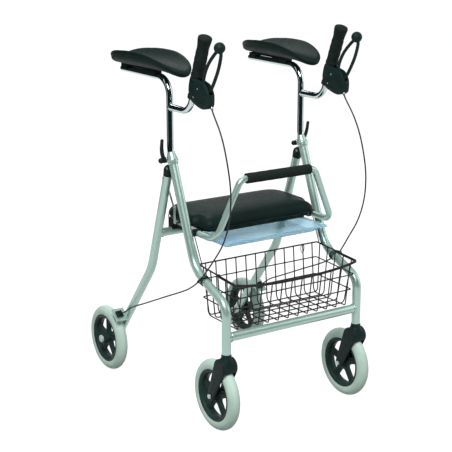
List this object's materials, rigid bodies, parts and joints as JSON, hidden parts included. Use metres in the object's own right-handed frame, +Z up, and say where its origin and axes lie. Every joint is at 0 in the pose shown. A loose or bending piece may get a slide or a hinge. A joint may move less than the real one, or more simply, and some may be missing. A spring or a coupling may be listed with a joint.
{
  "type": "rollator with forearm supports",
  "caption": "Wheeled walker with height-adjustable padded forearm supports, padded seat, sliding tray, wire basket, back bar, front casters and rear wheel brakes.",
  "frame": {"origin": "on the floor, midway between the front and rear axles and between the two sides", "axes": "+Z up; -Y is forward, the way the user walks; +X is the user's left"},
  "size_m": [0.5716, 0.76, 1.0737],
  "materials": {
    "silver_frame": "silver grey paint, satin",
    "chrome_column": "bright chrome plate",
    "black_plastic": "moulded, matt",
    "grip_rubber": "soft, matt",
    "grey_tyre": "light grey solid tyre",
    "black_vinyl": "coated fabric over foam, slight sheen",
    "tray_plastic": "clear tinted moulding",
    "basket_wire": "black coating on wire",
    "zinc_steel": "zinc plated",
    "cap_grey": "light grey cap",
    "board_black": "moulded, matt",
    "cable_sheath": "black sheath"
  },
  "bodies": {
    "front_frame": {"front_cross_tube": "silver_frame", "front_leg_right": "silver_frame", "leg_collar_right": "silver_frame", "seat_pivot_bolt_right": "black_plastic", "brake_cable_right": "cable_sheath", "front_leg_left": "silver_frame", "leg_collar_left": "silver_frame", "seat_pivot_bolt_left": "black_plastic", "brake_cable_left": "cable_sheath"},
    "rear_frame": {"rear_cross_tube": "silver_frame", "rear_leg_right": "silver_frame", "hinge_elbow_right": "black_plastic", "hinge_pin_right": "zinc_steel", "rear_axle_right": "cap_grey", "brake_bracket_right": "silver_frame", "rear_leg_left": "silver_frame", "hinge_elbow_left": "black_plastic", "hinge_pin_left": "zinc_steel", "rear_axle_left": "cap_grey", "brake_bracket_left": "silver_frame"},
    "seat": {"seat_cushion": "black_vinyl", "seat_board": "board_black", "seat_arm_right": "zinc_steel", "seat_arm_left": "zinc_steel"},
    "back_bar": {"back_bar": "silver_frame", "back_bar_foam": "grip_rubber", "back_bar_knuckle_right": "black_plastic", "back_bar_knuckle_left": "black_plastic"},
    "tray": {"tray": "tray_plastic"},
    "fold_lock": {"fold_lock": "zinc_steel"},
    "basket": {"basket": "basket_wire"},
    "arm_support_right": {"arm_column_right": "chrome_column", "grip_right": "grip_rubber", "brake_housing_right": "black_plastic", "arm_pad_right": "black_vinyl", "pad_base_right": "black_plastic"},
    "clamp_lever_right": {"clamp_lever_right": "black_plastic"},
    "brake_lever_right": {"brake_lever_right": "black_plastic"},
    "brake_shoe_right": {"brake_shoe_right": "black_plastic"},
    "caster_right": {"caster_fork_right": "black_plastic", "caster_axle_right": "zinc_steel"},
    "front_wheel_right": {"front_rim_right": "black_plastic", "front_tyre_right": "grey_tyre"},
    "rear_wheel_right": {"rear_rim_right": "black_plastic", "rear_tyre_right": "grey_tyre"},
    "arm_support_left": {"arm_column_left": "chrome_column", "grip_left": "grip_rubber", "brake_housing_left": "black_plastic", "arm_pad_left": "black_vinyl", "pad_base_left": "black_plastic"},
    "clamp_lever_left": {"clamp_lever_left": "black_plastic"},
    "brake_lever_left": {"brake_lever_left": "black_plastic"},
    "brake_shoe_left": {"brake_shoe_left": "black_plastic"},
    "caster_left": {"caster_fork_left": "black_plastic", "caster_axle_left": "zinc_steel"},
    "front_wheel_left": {"front_rim_left": "black_plastic", "front_tyre_left": "grey_tyre"},
    "rear_wheel_left": {"rear_rim_left": "black_plastic", "rear_tyre_left": "grey_tyre"}
  },
  "joints": [
    {"name": "rear_fold", "type": "hinge", "parent": "front_frame", "child": "rear_frame", "pos_m": [0, -0.04574, 0.69], "axis": [-1, 0, 0], "range_deg": [0, 30], "deforming": ["brake_cable_left", "brake_cable_right"]},
    {"name": "seat_lift", "type": "hinge", "parent": "front_frame", "child": "seat", "pos_m": [0, -0.13569, 0.522], "axis": [1, 0, 0], "range_deg": [0, 40]},
    {"name": "back_bar_turn", "type": "hinge", "parent": "front_frame", "child": "back_bar", "pos_m": [0, -0.13569, 0.522], "axis": [-1, 0, 0], "range_deg": [-15, 30]},
    {"name": "tray_slide", "type": "slide", "parent": "seat", "child": "tray", "axis": [0, -1, 0], "range_m": [0, 0.1]},
    {"name": "fold_lock_turn", "type": "hinge", "parent": "seat", "child": "fold_lock", "pos_m": [-0.206, -0.0355, 0.572], "axis": [-1, 0, 0], "range_deg": [0, 45]},
    {"name": "basket_lift", "type": "slide", "parent": "front_frame", "child": "basket", "axis": [0, 0.4282, 0.9037], "range_m": [0, 0.025]},
    {"name": "column_slide_right", "type": "slide", "parent": "front_frame", "child": "arm_support_right", "axis": [0, 0.3714, 0.9285], "range_m": [0, 0.1], "deforming": ["brake_cable_right"]},
    {"name": "clamp_lever_turn_right", "type": "hinge", "parent": "front_frame", "child": "clamp_lever_right", "pos_m": [-0.223, -0.03869, 0.71201], "axis": [-1, 0, 0], "range_deg": [0, 90]},
    {"name": "brake_lever_turn_right", "type": "hinge", "parent": "arm_support_right", "child": "brake_lever_right", "pos_m": [-0.223, -0.238, 0.92], "axis": [-1, 0, 0], "range_deg": [0, 12], "stiffness_Nm_per_rad": 2, "springref_deg": -2.86},
    {"name": "brake_shoe_slide_right", "type": "slide", "parent": "rear_frame", "child": "brake_shoe_right", "axis": [0, 0.617, -0.787], "range_m": [0, 0.0012]},
    {"name": "rear_wheel_spin_right", "type": "hinge", "parent": "rear_frame", "child": "rear_wheel_right", "pos_m": [-0.255, 0.28, 0.1], "axis": [1, 0, 0], "continuous": true},
    {"name": "caster_swivel_right", "type": "hinge", "parent": "front_frame", "child": "caster_right", "pos_m": [-0.223, -0.3255, 0.231], "axis": [0, 0, 1], "continuous": true},
    {"name": "front_wheel_spin_right", "type": "hinge", "parent": "caster_right", "child": "front_wheel_right", "pos_m": [-0.223, -0.28, 0.1], "axis": [1, 0, 0], "continuous": true},
    {"name": "column_slide_left", "type": "slide", "parent": "front_frame", "child": "arm_support_left", "axis": [0, 0.3714, 0.9285], "range_m": [0, 0.1], "deforming": ["brake_cable_left"]},
    {"name": "clamp_lever_turn_left", "type": "hinge", "parent": "front_frame", "child": "clamp_lever_left", "pos_m": [0.223, -0.03869, 0.71201], "axis": [-1, 0, 0], "range_deg": [0, 90]},
    {"name": "brake_lever_turn_left", "type": "hinge", "parent": "arm_support_left", "child": "brake_lever_left", "pos_m": [0.223, -0.238, 0.92], "axis": [-1, 0, 0], "range_deg": [0, 12], "stiffness_Nm_per_rad": 2, "springref_deg": -2.86},
    {"name": "brake_shoe_slide_left", "type": "slide", "parent": "rear_frame", "child": "brake_shoe_left", "axis": [0, 0.617, -0.787], "range_m": [0, 0.0012]},
    {"name": "rear_wheel_spin_left", "type": "hinge", "parent": "rear_frame", "child": "rear_wheel_left", "pos_m": [0.255, 0.28, 0.1], "axis": [1, 0, 0], "continuous": true},
    {"name": "caster_swivel_left", "type": "hinge", "parent": "front_frame", "child": "caster_left", "pos_m": [0.223, -0.3255, 0.231], "axis": [0, 0, 1], "continuous": true},
    {"name": "front_wheel_spin_left", "type": "hinge", "parent": "caster_left", "child": "front_wheel_left", "pos_m": [0.223, -0.28, 0.1], "axis": [1, 0, 0], "continuous": true}
  ],
  "couplings": [
    {"joint": "seat_lift", "follows": "rear_fold", "ratio": 1.3333},
    {"joint": "brake_shoe_slide_right", "follows": "brake_lever_turn_right", "m_per_rad": 0.00572},
    {"joint": "brake_shoe_slide_left", "follows": "brake_lever_turn_left", "m_per_rad": 0.00572}
  ]
}
